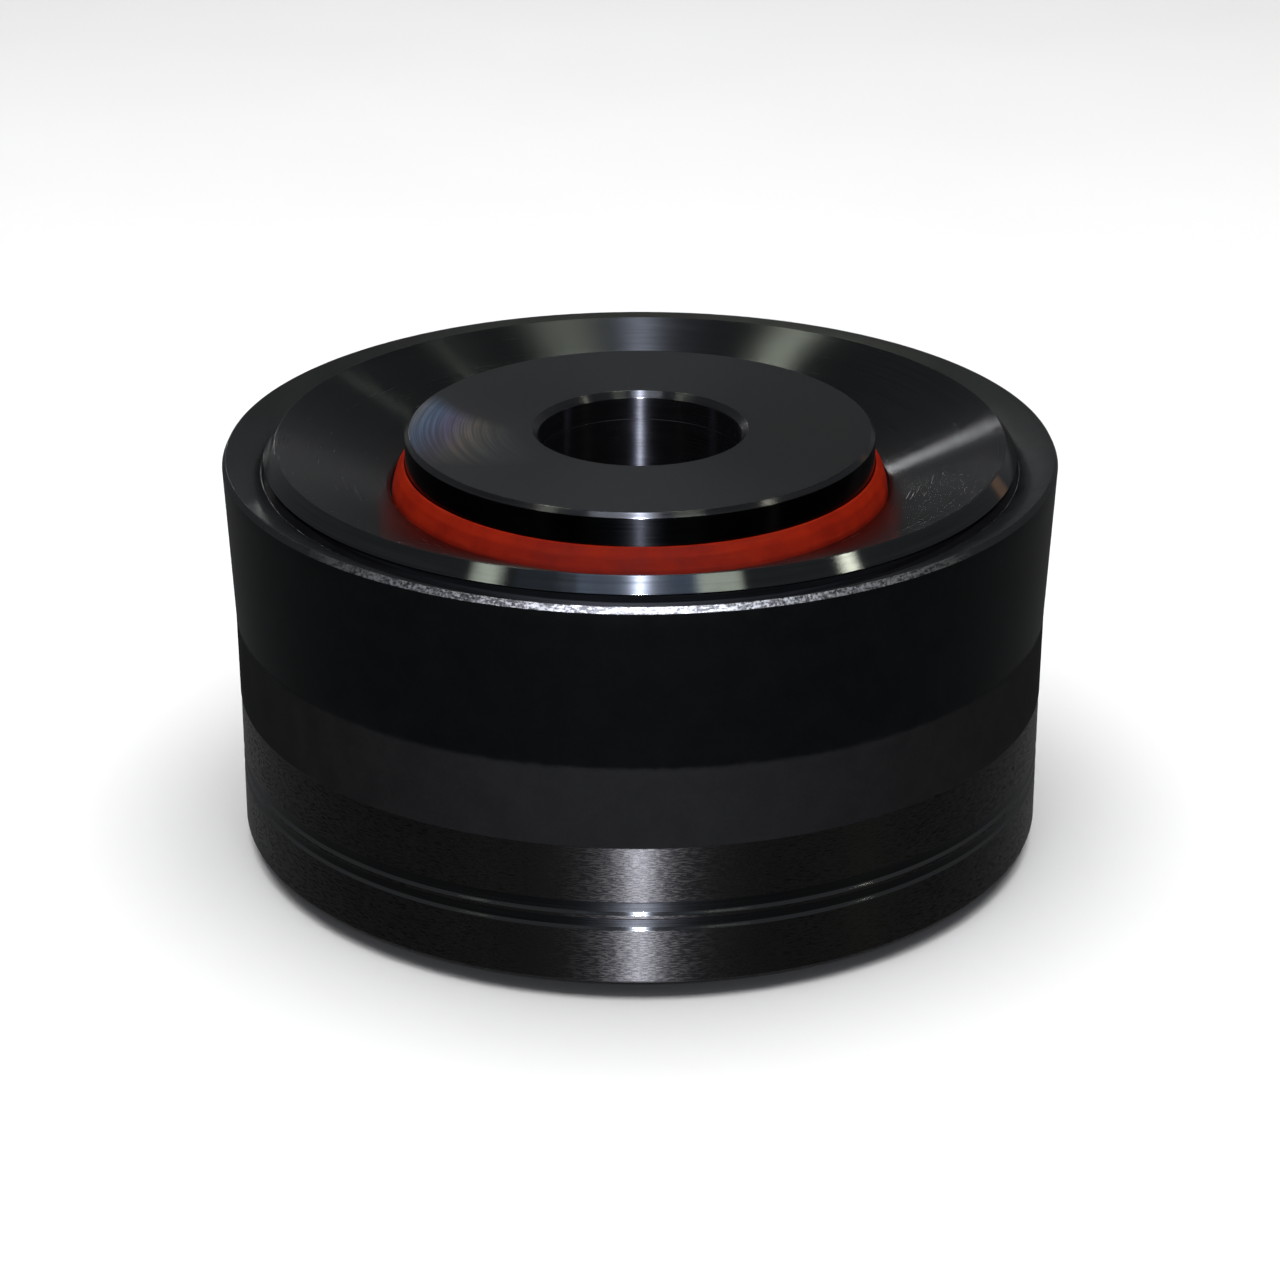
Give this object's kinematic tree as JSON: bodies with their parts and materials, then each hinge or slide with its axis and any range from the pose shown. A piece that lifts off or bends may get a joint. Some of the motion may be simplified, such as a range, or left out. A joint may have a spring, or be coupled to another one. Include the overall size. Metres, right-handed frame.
{
  "type": "track roller",
  "caption": "Sealed yoke-type track roller: thick ring-shaped shell with a slightly conical flank, turning on a hollow hub with a through bore.",
  "frame": {"origin": "centre of the lower collar's flat face, on the roller's axis; the part stands on that face", "axes": "+Z along the roller's axis, up through the bore; X and Y are across the roller"},
  "size_m": [0.4088, 0.4088, 0.209],
  "materials": {
    "painted_shell": "black paint with a satin gloss, bare turned steel showing through on the tread band",
    "turned_ring": "finely turned, mirror-bright on the outer band",
    "satin_collar": "dark satin with fine concentric turning marks",
    "red_rubber": "smooth matte",
    "black_rubber": "matte",
    "bronze": "turned bronze",
    "seal_iron": "lapped sealing face, rough back",
    "plain_steel": "ground"
  },
  "bodies": {
    "hub": {"inner_sleeve": "plain_steel", "lower_collar": "satin_collar", "lower_collar_o_ring": "black_rubber", "lower_dowel_pin_1": "plain_steel", "lower_dowel_pin_2": "plain_steel", "lower_excluder_seal": "red_rubber", "lower_fixed_seal_ring": "seal_iron", "lower_fixed_toric_ring": "black_rubber", "lower_thrust_washer": "bronze", "oil_plug": "plain_steel", "upper_collar": "satin_collar", "upper_collar_o_ring": "black_rubber", "upper_dowel_pin_1": "plain_steel", "upper_dowel_pin_2": "plain_steel", "upper_excluder_seal": "red_rubber", "upper_fixed_seal_ring": "seal_iron", "upper_fixed_toric_ring": "black_rubber", "upper_thrust_washer": "bronze"},
    "roller": {"lower_bushing": "bronze", "lower_end_ring": "turned_ring", "lower_end_ring_o_ring": "black_rubber", "lower_running_seal_ring": "seal_iron", "lower_running_toric_ring": "black_rubber", "roller_shell": "painted_shell", "upper_bushing": "bronze", "upper_end_ring": "turned_ring", "upper_end_ring_o_ring": "black_rubber", "upper_running_seal_ring": "seal_iron", "upper_running_toric_ring": "black_rubber"}
  },
  "joints": [
    {"name": "roller_spin", "type": "hinge", "parent": "hub", "child": "roller", "pos_m": [0, 0, 0.1045], "axis": [0, 0, 1], "continuous": true}
  ]
}
